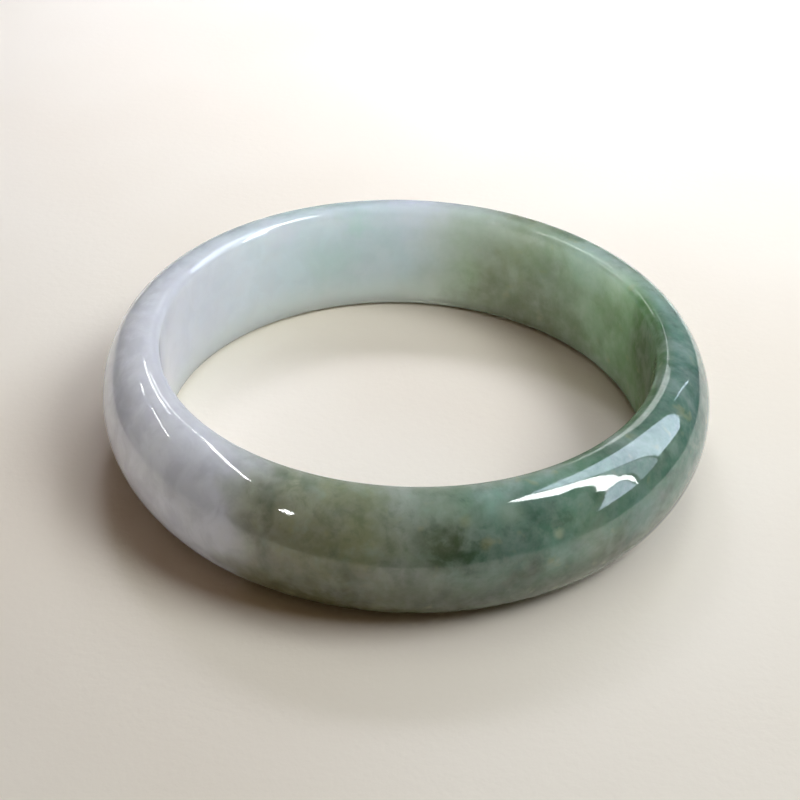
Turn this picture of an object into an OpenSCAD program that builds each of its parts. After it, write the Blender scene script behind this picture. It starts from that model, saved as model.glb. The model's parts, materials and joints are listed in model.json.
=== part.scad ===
// Jade bangle bracelet: one ring cut from a single stone.
// The bore is a plain cylinder, so that the ring lies flat on the wrist. The outside is an oval
// dome, and every edge is rounded and polished. The axis of the bore is +Z, and the ring lies on
// the plane z = 0 with that axis through the origin.

/* [Ring] */
// Inside diameter, the size that a bangle is sold by
inner_d = 56; // [50:0.5:64]
// Width along the wrist
width = 14.6; // [14:0.1:20]
// Thickness of the wall from the bore to the crown of the dome
wall = 6.7; // [5:0.1:7]

/* [Edges] */
// Radius of the rounded edge between the bore and each side
bore_edge_r = 1.1; // [0.6:0.1:1.5]
// Width of the narrow flat on each side, which the ring rests on
side_flat = 0.3; // [0.2:0.05:0.5]
// Radius of the dome's shoulders, less where the wall is too thin for it
shoulder_max_r = 4.3; // [2.5:0.1:5]

/* [Hidden] */
$fn = 180;

inner_r = inner_d / 2;
outer_r = inner_r + wall;
half_width = width / 2;

// The bore's edge is a quarter circle about (edge_x, edge_z).
edge_x = inner_r + bore_edge_r;
edge_z = half_width - bore_edge_r;

// A shoulder arc about (shoulder_x, shoulder_z) leaves the side flat. It stays smaller than the
// dome's rise, so that there is room for the crown.
shoulder_x = edge_x + side_flat;
dome_rise = outer_r - shoulder_x;
max_shoulder_share = 0.9;
shoulder_r = min(shoulder_max_r, max_shoulder_share * dome_rise);
shoulder_z = half_width - shoulder_r;

// The crown arc about (crown_x, 0) runs from one shoulder to the other, tangent to both.
crown_r = (dome_rise ^ 2 + shoulder_z ^ 2 - shoulder_r ^ 2) / (2 * (dome_rise - shoulder_r));
crown_x = outer_r - crown_r;
crown_half_angle = atan2(shoulder_z, shoulder_x - crown_x);

// Length of a cutting line, longer than any arc's radius
reach = 3 * width;

// Sector of a disc about point c, from angle a to angle b, less than 90 degrees either side of
// its middle
module sector(c, r, a, b) {
    mid = (a + b) / 2;
    intersection() {
        translate(c)
            circle(r);
        polygon([
            c,
            c + reach * [cos(a), sin(a)],
            c + 2 * reach * [cos(mid), sin(mid)],
            c + reach * [cos(b), sin(b)]
        ]);
    }
}

// Straight-sided middle of the section, between the bore and the dome
module section_core() {
    polygon([
        [inner_r, -edge_z],
        [edge_x, -edge_z],
        [edge_x, -half_width],
        [shoulder_x, -half_width],
        [shoulder_x, half_width],
        [edge_x, half_width],
        [edge_x, edge_z],
        [inner_r, edge_z]
    ]);
}

// Middle of the dome, cut off at the line where the core begins
module section_crown() {
    intersection() {
        sector([crown_x, 0], crown_r, -crown_half_angle, crown_half_angle);
        translate([shoulder_x, -reach])
            square([reach, 2 * reach]);
    }
}

// Upper half's rounded corners: the bore's edge and the dome's shoulder
module section_corners() {
    sector([edge_x, edge_z], bore_edge_r, 90, 180);
    sector([shoulder_x, shoulder_z], shoulder_r, crown_half_angle, 90);
}

// Section through the ring, with the bore's wall on the left
module section() {
    section_core();
    section_crown();
    section_corners();
    mirror([0, 1])
        section_corners();
}

// The whole ring, one solid
module bangle() {
    color([0.60, 0.69, 0.66])
        translate([0, 0, half_width])
            rotate_extrude()
                section();
}

bangle();
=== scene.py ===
"""Looks of a jade bangle: one polished stone ring on a plain pale floor, in soft studio light."""

import json
import math

import bpy
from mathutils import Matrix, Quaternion, Vector, noise


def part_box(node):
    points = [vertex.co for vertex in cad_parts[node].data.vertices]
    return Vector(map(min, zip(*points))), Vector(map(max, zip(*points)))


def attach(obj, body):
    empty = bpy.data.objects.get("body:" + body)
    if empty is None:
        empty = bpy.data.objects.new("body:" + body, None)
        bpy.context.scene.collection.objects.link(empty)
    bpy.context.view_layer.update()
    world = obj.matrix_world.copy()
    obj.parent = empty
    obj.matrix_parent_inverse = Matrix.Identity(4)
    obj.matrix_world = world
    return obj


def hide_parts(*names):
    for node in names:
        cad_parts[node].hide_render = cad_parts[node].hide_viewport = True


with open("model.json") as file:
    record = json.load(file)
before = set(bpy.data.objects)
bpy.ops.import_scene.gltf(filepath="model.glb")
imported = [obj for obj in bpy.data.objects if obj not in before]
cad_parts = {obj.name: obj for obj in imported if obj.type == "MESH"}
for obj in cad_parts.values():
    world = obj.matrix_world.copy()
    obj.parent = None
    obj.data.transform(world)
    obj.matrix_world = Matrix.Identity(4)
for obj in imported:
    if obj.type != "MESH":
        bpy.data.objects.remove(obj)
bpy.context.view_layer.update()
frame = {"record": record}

MM = 0.001

# ---------------------------------------------------------------- ring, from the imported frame
_, ring_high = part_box("bangle")
WRIST_BORE = next(m for m in frame["record"]["mounts"] if m["name"] == "wrist_bore")
BORE_R = WRIST_BORE["dims"]["r_mm"] * MM
WALL_LENGTH = WRIST_BORE["dims"]["length_mm"] * MM
OUTER_R = ring_high.x
HEIGHT = ring_high.z
CENTRE = Vector((0, 0, HEIGHT / 2))
SIDE_FLAT = 0.3 * MM  # narrow flat on each side of the ring
SHOULDER_R = 4.3 * MM  # radius of the dome's shoulders

# Steps round the ring, and along each stretch of half its section
SEGMENTS = 384
WALL_STEPS = 12
EDGE_STEPS = 10
FLAT_STEPS = 2
SHOULDER_STEPS = 20
CROWN_STEPS = 24

# Unevenness that hand polishing leaves: its depth, and its broad and fine waves per metre
POLISH_DEPTH = 0.014 * MM
BROAD_WAVES = 95.0
FINE_WAVES = 240.0
FINE_SHARE = 0.4


# ---------------------------------------------------------------- shape
def arc(centre, radius, start, end, steps):
    """Points of an arc in the section's plane, as (distance from the axis, height)."""
    points = []
    for i in range(steps + 1):
        a = start + (end - start) * i / steps
        points.append((centre[0] + radius * math.cos(a), centre[1] + radius * math.sin(a)))
    return points


def line(start, end, steps):
    """Inner points of a straight stretch, without its two ends."""
    return [
        (start[0] + (end[0] - start[0]) * i / steps, start[1] + (end[1] - start[1]) * i / steps)
        for i in range(1, steps)
    ]


def ring_section():
    """Closed outline of the stone, from the middle of the bore over the dome and back."""
    half = HEIGHT / 2
    edge_r = (HEIGHT - WALL_LENGTH) / 2
    edge = (BORE_R + edge_r, half - edge_r)
    rise = OUTER_R - edge[0] - SIDE_FLAT
    shoulder = (edge[0] + SIDE_FLAT, half - SHOULDER_R)
    crown_r = (rise**2 + shoulder[1] ** 2 - SHOULDER_R**2) / (2 * (rise - SHOULDER_R))
    crown_x = OUTER_R - crown_r
    meet = math.atan2(shoulder[1], shoulder[0] - crown_x)
    upper = [(BORE_R, 0.0)]
    upper += line((BORE_R, 0.0), (BORE_R, edge[1]), WALL_STEPS)
    upper += arc(edge, edge_r, math.pi, math.pi / 2, EDGE_STEPS)
    upper += line((edge[0], half), (shoulder[0], half), FLAT_STEPS)
    upper += arc(shoulder, SHOULDER_R, math.pi / 2, meet, SHOULDER_STEPS)
    upper += arc((crown_x, 0.0), crown_r, meet, 0.0, CROWN_STEPS)[1:]
    lower = [(x, -z) for x, z in upper[-2:0:-1]]
    return [(x, z + half) for x, z in upper + lower]


def section_normals(section):
    """Unit vectors in the section's plane that point out of the stone, one for each point."""
    normals = []
    for i in range(len(section)):
        before, after = section[i - 1], section[(i + 1) % len(section)]
        normals.append(Vector((before[1] - after[1], after[0] - before[0])).normalized())
    return normals


def hand_polish(point, outward):
    """Moves a point in or out by up to about a hundredth of a millimetre."""
    wave = noise.noise(point * BROAD_WAVES) + FINE_SHARE * noise.noise(point * FINE_WAVES)
    return point + outward * (POLISH_DEPTH * wave)


def grid_faces(rows, columns, closed):
    """Faces between rows of points that each run full circle. If closed, the rows do too."""
    faces = []
    for row in range(rows if closed else rows - 1):
        a, b = row * columns, (row + 1) % rows * columns
        for i in range(columns):
            j = (i + 1) % columns
            faces.append((a + i, a + j, b + j, b + i))
    return faces


def make_ring():
    section = ring_section()
    normals = section_normals(section)
    verts = []
    for s in range(SEGMENTS):
        a = 2 * math.pi * s / SEGMENTS
        cos_a, sin_a = math.cos(a), math.sin(a)
        for (x, z), side in zip(section, normals):
            outward = Vector((side.x * cos_a, side.x * sin_a, side.y))
            verts.append(hand_polish(Vector((x * cos_a, x * sin_a, z)), outward))
    mesh = bpy.data.meshes.new("jade_ring")
    mesh.from_pydata(verts, [], grid_faces(SEGMENTS, len(section), closed=True))
    mesh.validate()
    mesh.shade_smooth()
    ring = bpy.data.objects.new("jade_ring", mesh)
    bpy.context.scene.collection.objects.link(ring)
    return ring


# ---------------------------------------------------------------- node helpers
class Nodes:
    """A new material, and short calls that add nodes to it and return the last one's output."""

    def __init__(self, name):
        self.material = bpy.data.materials.new(name)
        self.material.use_nodes = True
        self.tree = self.material.node_tree
        self.tree.nodes.clear()

    def add(self, kind, inputs=(), output=0, **settings):
        node = self.tree.nodes.new(kind)
        for key, value in settings.items():
            setattr(node, key, value)
        for key, value in dict(inputs).items():
            self.put(node.inputs[key], value)
        return node.outputs[output] if len(node.outputs) else None

    def put(self, socket, value):
        if isinstance(value, bpy.types.NodeSocket):
            self.tree.links.new(value, socket)
        else:
            socket.default_value = value

    def math(self, operation, *values):
        return self.add("ShaderNodeMath", enumerate(values), operation=operation)

    def vector(self, operation, a, b):
        return self.add("ShaderNodeVectorMath", {0: a, 1: b}, operation=operation)

    def scaled(self, vector, factor):
        return self.add("ShaderNodeVectorMath", {0: vector, 3: factor}, operation="SCALE")

    def length(self, vector):
        return self.add("ShaderNodeVectorMath", {0: vector}, output=1, operation="LENGTH")

    def distance(self, a, b):
        return self.add("ShaderNodeVectorMath", {0: a, 1: b}, output=1, operation="DISTANCE")

    def noise(self, vector, scale, detail, roughness, distortion=0.0, output=0):
        inputs = {
            "Vector": vector,
            "Scale": scale,
            "Detail": detail,
            "Roughness": roughness,
            "Distortion": distortion,
        }
        return self.add("ShaderNodeTexNoise", inputs, output)

    def swirl(self, vector, scale, detail, roughness):
        """Noise as a vector, with each part from -0.5 to 0.5."""
        colour = self.noise(vector, scale, detail, roughness, output="Color")
        return self.vector("SUBTRACT", colour, (0.5, 0.5, 0.5))

    def span(self, value, low, high, to_low=0.0, to_high=1.0):
        """Smooth step from to_low at low to to_high at high."""
        inputs = {
            "Value": value,
            "From Min": low,
            "From Max": high,
            "To Min": to_low,
            "To Max": to_high,
        }
        return self.add("ShaderNodeMapRange", inputs, interpolation_type="SMOOTHSTEP")

    def mix(self, factor, a, b, blend="MIX"):
        node = self.tree.nodes.new("ShaderNodeMix")
        node.data_type = "RGBA"
        node.blend_type = blend
        self.put(node.inputs[0], factor)
        self.put(node.inputs[6], a)
        self.put(node.inputs[7], b)
        return node.outputs[2]

    def ramp(self, factor, stops):
        node = self.tree.nodes.new("ShaderNodeValToRGB")
        elements = node.color_ramp.elements
        elements[0].position, elements[0].color = stops[0]
        elements[-1].position, elements[-1].color = stops[-1]
        for position, colour in stops[1:-1]:
            elements.new(position).color = colour
        self.put(node.inputs[0], factor)
        return node.outputs[0]


def srgb(r, g, b):
    """A colour given as 0 to 255 screen values, as the linear values that a shader takes."""
    def linear(v):
        v /= 255
        return v / 12.92 if v <= 0.04045 else ((v + 0.055) / 1.055) ** 2.4
    return (linear(r), linear(g), linear(b), 1.0)


def turn(degrees):
    """An angle round the ring, from -180 to 180, as a place from 0 to 1 on a ramp."""
    return (degrees + 180) / 360


# ---------------------------------------------------------------- jade: where its colours lie
# Colours round the outside of the ring, by angle in degrees: 0 is its right side and -90 its
# front
OUTSIDE = [
    (-180, srgb(229, 231, 247)),
    (-150, srgb(220, 220, 235)),
    (-124, srgb(198, 198, 211)),
    (-116, srgb(164, 166, 156)),
    (-108, srgb(150, 154, 130)),
    (-98, srgb(137, 143, 115)),
    (-88, srgb(137, 149, 131)),
    (-80, srgb(124, 142, 121)),
    (-70, srgb(122, 157, 142)),
    (-58, srgb(108, 142, 122)),
    (-40, srgb(96, 131, 112)),
    (-15, srgb(72, 113, 100)),
    (10, srgb(118, 150, 139)),
    (22, srgb(145, 168, 155)),
    (50, srgb(126, 142, 122)),
    (66, srgb(124, 130, 104)),
    (76, srgb(152, 162, 150)),
    (86, srgb(188, 194, 204)),
    (112, srgb(176, 198, 192)),
    (148, srgb(206, 219, 228)),
    (180, srgb(229, 231, 247)),
]

# Colours round the bore: the stone's own colours with painted glow of light through the stone,
# which is warmer on the right
BORE_WITH_PAINTED_GLOW = [
    (-180, srgb(213, 214, 231)),
    (-138, srgb(198, 198, 211)),
    (-125, srgb(164, 165, 171)),
    (-114, srgb(110, 114, 95)),
    (-104, srgb(99, 105, 81)),
    (-88, srgb(104, 115, 92)),
    (-50, srgb(88, 114, 90)),
    (0, srgb(72, 104, 66)),
    (12, srgb(84, 121, 77)),
    (20, srgb(117, 149, 114)),
    (30, srgb(156, 181, 156)),
    (42, srgb(150, 168, 148)),
    (54, srgb(139, 156, 133)),
    (64, srgb(134, 145, 118)),
    (74, srgb(158, 174, 152)),
    (84, srgb(178, 189, 184)),
    (96, srgb(188, 204, 209)),
    (120, srgb(199, 218, 224)),
    (140, srgb(214, 230, 242)),
    (160, srgb(212, 219, 235)),
    (180, srgb(213, 214, 231)),
]

# Share of green stone round the ring, by angle
GREEN = [(-180, 0), (-124, 0), (-112, 1), (50, 1), (84, 0), (180, 0)]

# Between these depths behind the bore's wall, its colours fade into the outside's, in mm
BORE_DEPTH = (0.3, 2.4)

# How far noise moves the borders of the colours and the edges of the patches, in mm
BORDER_WARP = 16.0
PATCH_TEAR = 7.0
SMALL_PATCH_TEAR = 1.5
SMALL_PATCH = 2.0  # largest size of a small patch

# Single clouds and dark spots in the stone, and a few patches of painted light and painted shade on
# the bore's wall: angle round the ring in degrees, distance from its axis, height and size in mm,
# strength, and colour
PATCHES_WITH_PAINTED_LIGHT = [
    (-88, 31.6, 14.0, 6.5, 0.25, srgb(150, 160, 158)),
    (-82, 34.0, 10.8, 4.0, 0.75, srgb(54, 72, 38)),
    (-105, 34.3, 9.8, 4.0, 0.18, srgb(96, 104, 72)),
    (-113, 33.6, 3.0, 5.0, 0.45, srgb(112, 114, 88)),
    (-66, 33.0, 12.8, 5.0, 0.55, srgb(56, 98, 78)),
    (-62, 33.6, 11.4, 2.5, 0.45, srgb(112, 134, 116)),
    (-71, 32.4, 13.4, 1.8, 0.50, srgb(142, 160, 144)),
    (-76, 33.9, 11.1, 0.9, 0.45, srgb(136, 136, 84)),
    (-79, 32.5, 13.3, 1.0, 0.35, srgb(136, 138, 90)),
    (-63, 34.1, 10.6, 0.8, 0.55, srgb(170, 178, 150)),
    (-56, 34.4, 9.5, 4.0, 0.45, srgb(124, 136, 114)),
    (-45, 34.5, 9.4, 4.0, 0.45, srgb(112, 144, 136)),
    (-75, 34.6, 8.0, 4.0, 0.40, srgb(98, 114, 100)),
    (-69, 34.6, 7.5, 3.0, 0.55, srgb(66, 74, 44)),
    (-52, 34.6, 7.0, 4.0, 0.45, srgb(84, 92, 62)),
    (29, 28.0, 9.0, 5.0, 0.50, srgb(104, 136, 92)),
    (12, 28.0, 9.0, 4.5, 0.40, srgb(62, 94, 54)),
    # Painted light: the next three make the bore's back-right wall lighter high up
    (40, 28.4, 13.5, 6.0, 0.40, srgb(166, 190, 182)),
    (58, 28.4, 13.5, 6.0, 0.35, srgb(150, 166, 150)),
    (72, 28.2, 12.5, 7.0, 0.50, srgb(174, 184, 180)),
    # Painted shade: the next three make the bore's back-right wall darker at its foot
    (42, 28.0, 0.5, 7.0, 0.50, srgb(84, 98, 60)),
    (57, 28.0, 0.5, 8.0, 0.70, srgb(76, 82, 42)),
    (72, 28.0, 0.5, 6.5, 0.55, srgb(92, 98, 64)),
    (90, 28.4, 14.2, 5.0, 0.50, srgb(200, 206, 220)),
    (105, 28.0, 12.5, 3.0, 0.35, srgb(166, 206, 190)),
    (112, 28.0, 7.0, 5.0, 0.30, srgb(176, 208, 196)),
    (125, 28.0, 13.2, 3.0, 0.40, srgb(206, 212, 228)),
    (-134, 30.7, 14.4, 5.0, 0.35, srgb(214, 214, 228)),
    (-148, 30.1, 14.5, 5.0, 0.30, srgb(212, 212, 226)),
    (-155, 33.0, 12.5, 4.5, 0.30, srgb(168, 168, 182)),
    (-130, 33.4, 11.5, 5.0, 0.25, srgb(164, 162, 177)),
]

# Colours that the clouds and grains bring in, and the painted shade and painted glow by height.
# Those marked "times" multiply the stone's.
MILK = srgb(214, 216, 222)
HAZE = srgb(226, 225, 228)  # times
DEEP_GREEN = srgb(46, 74, 58)
# Painted shade low on the green dome
LOW_PAINTED_SHADE = srgb(150, 152, 106)  # times
# Painted glow low in the pale bore
LOW_PAINTED_GLOW = srgb(222, 242, 226)
SPECK = srgb(150, 172, 160)
SHADE = srgb(120, 150, 130)  # times
FLECK = srgb(160, 160, 122)
FELT = srgb(220, 222, 224)

JADEITE_IOR = 1.66
PALE_GLOW = 20.0 * MM  # how far light goes in the pale stone
GREEN_GLOW = 2.5 * MM  # how far it goes in the darkest green


# ---------------------------------------------------------------- jade: its material
def place_round_ring(n, mm):
    """Place round the ring, 0 to 1, warped so that no colour border runs straight across."""
    warp = n.swirl(mm, scale=0.09, detail=3.0, roughness=0.55)
    warped = n.vector("ADD", mm, n.scaled(warp, BORDER_WARP))
    parts = n.add("ShaderNodeSeparateXYZ", {0: warped}).node.outputs
    angle = n.math("ARCTAN2", parts["Y"], parts["X"])
    return n.math("MULTIPLY_ADD", angle, 1 / (2 * math.pi), 0.5)


def depth_behind_bore(n, mm):
    """0 at the bore's wall and 1 in the stone behind it."""
    flat = n.vector("MULTIPLY", mm, (1.0, 1.0, 0.0))
    bore_mm = BORE_R / MM
    return n.span(n.length(flat), bore_mm + BORE_DEPTH[0], bore_mm + BORE_DEPTH[1])


def add_clouds(n, mm, colour, green, depth):
    """Broad milky drifts and a fine haze everywhere, and soft dark clouds in the green stone."""
    drift = n.noise(mm, scale=0.14, detail=4.0, roughness=0.55, distortion=0.5)
    colour = n.mix(n.span(drift, 0.44, 0.74, to_high=0.25), colour, MILK)

    fine = n.noise(mm, scale=0.3, detail=4.0, roughness=0.6, distortion=0.4)
    haze = n.span(fine, 0.6, 0.36, to_high=0.6)
    haze = n.math("MULTIPLY", haze, n.span(depth, 0.0, 1.0, to_low=0.3))
    colour = n.mix(haze, colour, HAZE, "MULTIPLY")

    deep = n.noise(mm, scale=0.17, detail=3.0, roughness=0.5, distortion=0.8)
    dark = n.math("MULTIPLY", n.span(deep, 0.46, 0.66, to_high=0.4), green)
    dark = n.math("MULTIPLY", dark, n.span(depth, 0.0, 1.0, to_low=0.35))
    return n.mix(dark, colour, DEEP_GREEN)


def paint_shade_and_glow_by_height(n, up, colour, green, depth, low):
    """Painted shade darkens the green stone low on the dome, and painted glow lightens the pale
    stone low in the bore.
    """
    # Painted shade: the green dome darker and browner low down
    colour = n.mix(low, colour, LOW_PAINTED_SHADE, "MULTIPLY")
    # Painted glow: the pale bore lighter towards its foot
    pale_bore = n.math("SUBTRACT", 1.0, n.math("MAXIMUM", green, depth))
    light = n.math("MULTIPLY", n.span(up, 6.0, 0.5, to_high=0.5), pale_bore)
    return n.mix(light, colour, LOW_PAINTED_GLOW)


def add_patches_and_painted_light(n, mm, colour):
    """Single clouds and spots with ragged edges, among them patches of painted light and painted
    shade on the bore's wall.
    """
    ragged = n.swirl(mm, scale=0.35, detail=4.0, roughness=0.6)
    torn = n.vector("ADD", mm, n.scaled(ragged, PATCH_TEAR))
    nicked = n.vector("ADD", mm, n.scaled(ragged, SMALL_PATCH_TEAR))
    for degrees, out, height, size, strength, patch_colour in PATCHES_WITH_PAINTED_LIGHT:
        a = math.radians(degrees)
        centre = (out * math.cos(a), out * math.sin(a), height)
        away = n.distance(torn if size > SMALL_PATCH else nicked, centre)
        cover = n.span(away, size, 0.2 * size, to_high=strength)
        colour = n.mix(cover, colour, patch_colour)
    return colour


def add_grains(n, mm, colour, green, depth, low):
    """Mottling and flecks in the green stone, and the felted texture of the crystals everywhere."""
    mottle = n.noise(mm, scale=0.42, detail=4.0, roughness=0.62, distortion=0.3)
    calm_bore = n.span(depth, 0.0, 1.0, to_low=0.3)
    calm_low = n.span(low, 0.0, 0.9, to_low=1.0, to_high=0.3)
    where = n.math("MULTIPLY", green, n.math("MULTIPLY", calm_bore, calm_low))
    speck = n.math("MULTIPLY", n.span(mottle, 0.52, 0.68, to_high=0.24), where)
    colour = n.mix(speck, colour, SPECK)
    shade = n.math("MULTIPLY", n.span(mottle, 0.5, 0.34, to_high=0.3), where)
    colour = n.mix(shade, colour, SHADE, "MULTIPLY")

    grain = n.noise(mm, scale=0.5, detail=2.0, roughness=0.5)
    fleck = n.math("MULTIPLY", n.span(grain, 0.62, 0.78, to_high=0.35), green)
    colour = n.mix(fleck, colour, FLECK)

    felt = n.noise(mm, scale=0.7, detail=4.0, roughness=0.6)
    return n.mix(n.span(felt, 0.35, 0.7, to_high=0.08), colour, FELT)


def light_depth(n, green_dome, low):
    """How far light goes: deep in the pale stone and the bore, and less deep in the green dome."""
    shallow = n.math("ADD", green_dome, low)
    inputs = {"Value": shallow, "From Max": 2.0, "To Min": PALE_GLOW, "To Max": GREEN_GLOW}
    return n.add("ShaderNodeMapRange", inputs)


def jade():
    """Solid stone: its colours lie at places inside the ring, in mm, not on its surface."""
    n = Nodes("jade")
    mm = n.scaled(n.add("ShaderNodeTexCoord", output="Object"), 1 / MM)
    up = n.add("ShaderNodeSeparateXYZ", {0: mm}, output="Z")
    around = place_round_ring(n, mm)
    depth = depth_behind_bore(n, mm)
    green = n.ramp(around, [(turn(a), (share, share, share, 1)) for a, share in GREEN])
    green_dome = n.math("MULTIPLY", green, depth)
    # Low on the green dome: there painted shade darkens the stone, mottling calms and light goes
    # less deep
    low = n.math("MULTIPLY", n.span(up, 9.0, 4.0, to_high=0.9), green_dome)

    outside = n.ramp(around, [(turn(a), c) for a, c in OUTSIDE])
    # The bore's colours carry painted glow of light through the stone
    bore = n.ramp(around, [(turn(a), c) for a, c in BORE_WITH_PAINTED_GLOW])
    colour = n.mix(depth, bore, outside)
    colour = add_clouds(n, mm, colour, green, depth)
    # Painted shade low on the green dome and painted glow low in the bore
    colour = paint_shade_and_glow_by_height(n, up, colour, green, depth, low)
    colour = add_patches_and_painted_light(n, mm, colour)
    colour = add_grains(n, mm, colour, green, depth, low)

    ripple = n.noise(mm, scale=0.3, detail=4.0, roughness=0.5)
    bump = n.add("ShaderNodeBump", {"Height": ripple, "Strength": 0.03, "Distance": 0.4 * MM})
    smear = n.noise(mm, scale=0.5, detail=3.0, roughness=0.6)
    shader = n.add(
        "ShaderNodeBsdfPrincipled",
        {
            "Base Color": colour,
            "Roughness": n.span(smear, 0.3, 0.7, to_low=0.03, to_high=0.06),
            "IOR": JADEITE_IOR,
            "Normal": bump,
            "Subsurface Weight": 0.85,
            "Subsurface Radius": (1.0, 1.05, 0.95),
            "Subsurface Scale": light_depth(n, green_dome, low),
        },
    )
    n.add("ShaderNodeOutputMaterial", {"Surface": shader})
    return n.material


# ---------------------------------------------------------------- other materials
BACKDROP_START = 0.18  # distances from the ring's axis between which the backdrop fades in
BACKDROP_FULL = 0.36


def floor_material():
    n = Nodes("floor")
    place = n.add("ShaderNodeTexCoord", output="Object")
    shade = n.noise(place, scale=9.0, detail=3.0, roughness=0.55)
    colour = n.mix(n.span(shade, 0.3, 0.7), srgb(233, 220, 203), srgb(239, 229, 215))
    grain = n.noise(n.scaled(place, 1 / MM), scale=0.9, detail=4.0, roughness=0.6)
    bump = n.add("ShaderNodeBump", {"Height": grain, "Strength": 0.25, "Distance": 0.15 * MM})
    shader = n.add(
        "ShaderNodeBsdfPrincipled",
        {"Base Color": colour, "Roughness": 0.7, "Normal": bump},
    )
    n.add("ShaderNodeOutputMaterial", {"Surface": shader})
    return n.material


def backdrop_material():
    """Clear near the ring and plain pale further out, so that the floor has no dark far edge."""
    n = Nodes("backdrop")
    place = n.add("ShaderNodeTexCoord", output="Object")
    soft = n.noise(place, scale=2.0, detail=2.0, roughness=0.5)
    tint = n.mix(n.span(soft, 0.3, 0.7), srgb(232, 226, 216), srgb(238, 233, 224))
    pale = n.add("ShaderNodeEmission", {"Color": tint})
    clear = n.add("ShaderNodeBsdfTransparent")
    cover = n.span(n.length(place), BACKDROP_START, BACKDROP_FULL)
    both = n.add("ShaderNodeMixShader", {0: cover, 1: clear, 2: pale})
    n.add("ShaderNodeOutputMaterial", {"Surface": both})
    return n.material


def glow_material(name, colour, strength):
    n = Nodes(name)
    shader = n.add("ShaderNodeEmission", {"Color": colour, "Strength": strength})
    n.add("ShaderNodeOutputMaterial", {"Surface": shader})
    return n.material


def dark_material(name, colour):
    n = Nodes(name)
    shader = n.add("ShaderNodeBsdfDiffuse", {"Color": colour})
    n.add("ShaderNodeOutputMaterial", {"Surface": shader})
    return n.material


# ---------------------------------------------------------------- floor, backdrop and table
SIDES = 96  # of the circles that the floor and the backdrop are made of
FLOOR_R = 4.0

BACKDROP_LEVEL = 0.05 * MM  # just over the floor
BACKDROP_BEND = 1.6  # distance from the axis where the backdrop starts to bend up
BEND_R = 0.4
BEND_ANGLES = (0.4, 0.8, 1.2, 1.57)  # in radians
BACKDROP_TOP = 3.0

# The pale sheet on the dark table: its four sides, and how much of its front corners is missing
SHEET_LEFT = -68 * MM
SHEET_RIGHT = 76 * MM
SHEET_FRONT = -62 * MM
SHEET_BACK = 112 * MM
LEFT_CORNER = 22 * MM
RIGHT_CORNER = 44 * MM
TABLE_HALF = 4.0
TABLE_CORNER = 3.6  # where the table's own front corners are cut off
TABLE_LEVEL = 0.1 * MM


def staged(name, verts, faces, material):
    mesh = bpy.data.meshes.new(name)
    mesh.from_pydata(verts, [], faces)
    mesh.materials.append(material)
    made = bpy.data.objects.new(name, mesh)
    bpy.context.scene.collection.objects.link(made)
    return made


def circle(radius, height):
    angles = [2 * math.pi * i / SIDES for i in range(SIDES)]
    return [(radius * math.cos(a), radius * math.sin(a), height) for a in angles]


def make_floor():
    return staged("floor", circle(FLOOR_R, 0.0), [tuple(range(SIDES))], floor_material())


def make_backdrop():
    """A pale sweep for the camera only: a wide ring over the floor that curves up into a wall."""
    outline = [(BACKDROP_START, BACKDROP_LEVEL), (BACKDROP_BEND, BACKDROP_LEVEL)]
    for a in BEND_ANGLES:
        outline.append((BACKDROP_BEND + BEND_R * math.sin(a), BEND_R - BEND_R * math.cos(a)))
    outline.append((BACKDROP_BEND + BEND_R, BACKDROP_TOP))
    verts = [vert for radius, height in outline for vert in circle(radius, height)]
    faces = grid_faces(len(outline), SIDES, closed=False)
    made = staged("backdrop", verts, faces, backdrop_material())
    made.visible_diffuse = False
    made.visible_glossy = False
    made.visible_transmission = False
    made.visible_shadow = False
    return made


def make_table_edge():
    """The dark table round the pale sheet, which only the polish of the stone mirrors."""
    inner = [
        (SHEET_RIGHT, SHEET_FRONT + RIGHT_CORNER),
        (SHEET_RIGHT, SHEET_BACK),
        (SHEET_LEFT, SHEET_BACK),
        (SHEET_LEFT, SHEET_FRONT + LEFT_CORNER),
        (SHEET_LEFT + LEFT_CORNER, SHEET_FRONT),
        (SHEET_RIGHT - RIGHT_CORNER, SHEET_FRONT),
    ]
    outer = [
        (TABLE_HALF, -TABLE_CORNER),
        (TABLE_HALF, TABLE_HALF),
        (-TABLE_HALF, TABLE_HALF),
        (-TABLE_HALF, -TABLE_CORNER),
        (-TABLE_CORNER, -TABLE_HALF),
        (TABLE_CORNER, -TABLE_HALF),
    ]
    count = len(inner)
    verts = [(x, y, TABLE_LEVEL) for x, y in inner + outer]
    faces = [(i, (i + 1) % count, count + (i + 1) % count, count + i) for i in range(count)]
    table = staged("table_edge", verts, faces, dark_material("table", srgb(40, 38, 38)))
    table.visible_camera = False
    table.visible_diffuse = False
    table.visible_transmission = False
    table.visible_shadow = False
    return table


# ---------------------------------------------------------------- what the polish mirrors
WINDOW_X = 0.7  # distance of the right window's plane from the ring's axis
STRIP_DISTANCE = 0.7
PALE_BLUE = (0.72, 0.83, 1.0, 1)
FRAME_BLUE = (0.75, 0.88, 1.0, 1)
DAYLIGHT = (0.96, 0.98, 1.0, 1)
WHITE = (1, 1, 1, 1)


def mirrored(name, verts, colour, strength):
    """A glowing panel that the camera doesn't see, and that shows only in reflections."""
    panel = staged(name, verts, [tuple(range(len(verts)))], glow_material(name, colour, strength))
    panel.visible_camera = False
    panel.visible_diffuse = False
    return panel


def window_pane(name, corners, colour, strength):
    """A pane of the right window. Corners are (along Y, up), as if its plane were 1 away."""
    verts = [(WINDOW_X, y * WINDOW_X, z * WINDOW_X + HEIGHT / 2) for y, z in corners]
    return mirrored(name, verts, colour, strength)


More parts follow.
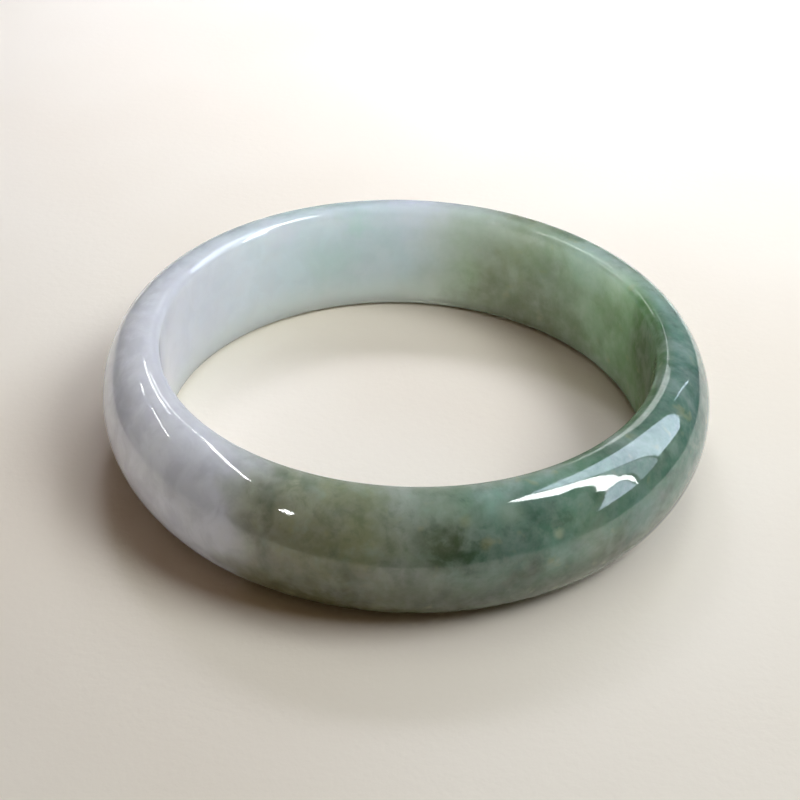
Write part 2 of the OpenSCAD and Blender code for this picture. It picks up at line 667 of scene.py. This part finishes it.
def make_window():
    far = [
        (0.13, 0.16), (0.42, 0.12), (0.62, 0.5), (1.2, 1.45),
        (1.3, 2.0), (1.0, 2.45), (0.3, 2.45), (0.2, 1.3),
    ]
    near = [
        (-0.09, 0.06), (-0.07, 0.55), (0.14, 1.2), (0.2, 1.6), (0.2, 2.45),
        (-0.24, 2.5), (-0.3, 2.2), (-0.25, 1.26), (-0.12, 1.2), (-0.17, 0.84),
        (-0.31, 0.5), (-0.28, 0.34), (-0.15, 0.38),
    ]
    low = [(-0.42, 0.07), (-0.11, 0.07), (-0.15, 0.36), (-0.28, 0.33)]
    between = [
        (-0.06, 0.08), (0.11, 0.1), (0.145, 0.7), (0.18, 1.2), (0.13, 1.12), (-0.05, 0.57),
    ]
    slit = [(0.94, 0.38), (0.98, 0.38), (1.08, 0.86), (1.02, 0.86)]
    window_pane("pane_far", far, PALE_BLUE, 6.0)
    window_pane("pane_near", near, DAYLIGHT, 16.0)
    window_pane("pane_low", low, PALE_BLUE, 5.0)
    window_pane("pane_frame", between, FRAME_BLUE, 2.4)
    window_pane("pane_slit", slit, PALE_BLUE, 5.0)


def towards(azimuth, elevation):
    """Unit vector: azimuth 0 is +Y, behind the ring, and 90 is +X, to its right."""
    a, e = math.radians(azimuth), math.radians(elevation)
    return Vector((math.sin(a) * math.cos(e), math.cos(a) * math.cos(e), math.sin(e)))


def strip(name, start, end, width, strength):
    """A straight glowing strip between two directions. Its width is in degrees, from the ring."""
    first, last = towards(*start) * STRIP_DISTANCE, towards(*end) * STRIP_DISTANCE
    half = STRIP_DISTANCE * math.tan(math.radians(width / 2))
    side = (last - first).cross(first + last).normalized() * half
    corners = [first - side, last - side, last + side, first + side]
    return mirrored(name, [CENTRE + corner for corner in corners], WHITE, strength)


# ---------------------------------------------------------------- lamps and room
SPOT_COLOUR = (0.78, 0.84, 1.0)
SPOT_ANGLE = math.radians(60)
SPOT_RADIUS = 0.05  # of the lamp itself, which softens its shadows

# The room's colour near the horizon and overhead, and the heights on a unit sphere between which
# the first fades into the second
ROOM_LOW = (1.0, 0.64, 0.3, 1)
ROOM_HIGH = (0.6, 0.5, 0.38, 1)
ROOM_FADE = (0.15, 0.85)
ROOM_STRENGTH = 0.11


def place_lamp(name, lamp, location, away):
    """Puts a lamp in the scene that shines opposite to away, and that isn't mirrored."""
    made = bpy.data.objects.new(name, lamp)
    made.location = location
    made.rotation_mode = "QUATERNION"
    made.rotation_quaternion = away.to_track_quat("Z", "Y")
    made.visible_glossy = False
    bpy.context.scene.collection.objects.link(made)
    return made


def soft_light(name, azimuth, elevation, distance, width, height, strength, colour):
    """A soft panel that faces the ring. Its width and height are in degrees, from the ring."""
    lamp = bpy.data.lights.new(name, "AREA")
    lamp.shape = "RECTANGLE"
    lamp.size = 2 * distance * math.tan(math.radians(width / 2))
    lamp.size_y = 2 * distance * math.tan(math.radians(height / 2))
    lamp.energy = strength * math.pi * lamp.size * lamp.size_y
    lamp.color = colour
    away = towards(azimuth, elevation)
    made = place_lamp(name, lamp, CENTRE + away * distance, away)
    made.visible_camera = False
    return made


def soft_spot(name, place, aim, power):
    """A wide soft spot lamp that brightens the floor behind the ring. Places are in metres."""
    lamp = bpy.data.lights.new(name, "SPOT")
    lamp.energy = power
    lamp.color = SPOT_COLOUR
    lamp.spot_size = SPOT_ANGLE
    lamp.spot_blend = 1.0
    lamp.shadow_soft_size = SPOT_RADIUS
    return place_lamp(name, lamp, place, Vector(place) - Vector(aim))


def set_world():
    """Dim warm room, brightest and warmest near the horizon."""
    world = bpy.data.worlds.new("studio")
    world.use_nodes = True
    tree = world.node_tree
    place = tree.nodes.new("ShaderNodeTexCoord")
    split = tree.nodes.new("ShaderNodeSeparateXYZ")
    fade = tree.nodes.new("ShaderNodeMapRange")
    fade.inputs["From Min"].default_value = ROOM_FADE[0]
    fade.inputs["From Max"].default_value = ROOM_FADE[1]
    blend = tree.nodes.new("ShaderNodeMix")
    blend.data_type = "RGBA"
    blend.inputs[6].default_value = ROOM_LOW
    blend.inputs[7].default_value = ROOM_HIGH
    background = tree.nodes["Background"]
    background.inputs["Strength"].default_value = ROOM_STRENGTH
    tree.links.new(place.outputs["Generated"], split.inputs[0])
    tree.links.new(split.outputs["Z"], fade.inputs["Value"])
    tree.links.new(fade.outputs[0], blend.inputs[0])
    tree.links.new(blend.outputs[2], background.inputs["Color"])
    bpy.context.scene.world = world


# ---------------------------------------------------------------- camera
LENS = 66.5
SENSOR_WIDTH = 36.0
CLIP_START = 0.005
CLIP_END = 20
CAMERA_DISTANCE = 171.5 * MM
CAMERA_ELEVATION = 34.8  # this and the next three are in degrees
CAMERA_ROLL = 2.2
AIM_LEFT = 0.26
AIM_DOWN = 0.78


def make_camera():
    """A camera close to the ring, aimed a little below and to the left of its centre."""
    data = bpy.data.cameras.new("camera")
    data.lens = LENS
    data.sensor_width = SENSOR_WIDTH
    data.clip_start = CLIP_START
    data.clip_end = CLIP_END
    camera = bpy.data.objects.new("camera", data)
    away = towards(180, CAMERA_ELEVATION)
    camera.location = CENTRE + away * CAMERA_DISTANCE
    camera.rotation_mode = "QUATERNION"
    look = away.to_track_quat("Z", "Y")
    look = look @ Quaternion((0, 0, 1), math.radians(CAMERA_ROLL))
    look = look @ Quaternion((0, 1, 0), math.radians(AIM_LEFT))
    look = look @ Quaternion((1, 0, 0), math.radians(-AIM_DOWN))
    camera.rotation_quaternion = look
    bpy.context.scene.collection.objects.link(camera)
    bpy.context.scene.camera = camera
    return camera


# ---------------------------------------------------------------- the ring in its scene
ring = make_ring()
ring.data.materials.append(jade())
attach(ring, "root")
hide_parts("bangle")

make_floor()
make_backdrop()
make_table_edge()
make_window()
set_world()

# Azimuth and elevation in degrees, distance in metres, width, height, strength and colour
soft_light("key", 100, 50, 0.6, 30, 24, 8.6, (0.89, 0.96, 1.02))
soft_light("overhead", 45, 78, 0.25, 30, 24, 2.3, (0.92, 1.0, 0.95))
soft_light("back", 40, 25, 0.3, 34, 16, 4.0, (0.7, 0.85, 1.0))
soft_light("fill", 180, 65, 0.5, 40, 30, 0.25, (1.0, 0.6, 0.3))

# Place, aim and power
soft_spot("back_right_spot", (0.1, 0.3, 0.3), (0.06, 0.16, 0.0), 2.6)
soft_spot("back_left_spot", (-0.05, 0.3, 0.3), (-0.02, 0.16, 0.0), 3.6)

# Azimuth and elevation of the start and of the end, width and strength
strip("back_wall", (8, 35.5), (20, 36.5), 5.5, 2.6)
strip("far_wall_low", (-10.4, 30.0), (-12, 34), 1.8, 1.0)
strip("far_wall_high", (-12, 34), (-6.4, 38.4), 1.6, 1.3)
strip("window_bar_low", (-17.8, 35.6), (-24, 41), 0.7, 13.0)
strip("window_bar_high", (-24, 41), (-26.2, 47.6), 0.6, 14.0)
strip("window_bar_left", (-22.8, 34.2), (-33.8, 43.3), 0.6, 24.0)
strip("ceiling_lamp", (-29, 49), (-98, 56.3), 1.0, 26.0)
strip("left_lamp", (-55, 36), (-79, 33.7), 0.6, 34.0)
strip("left_glint", (-44, 32.4), (-51.5, 32.8), 0.8, 14.0)
strip("front_glint", (-137, 27.2), (-141.5, 25.6), 4.0, 26.0)
make_camera()

bpy.context.scene.view_settings.view_transform = "Standard"
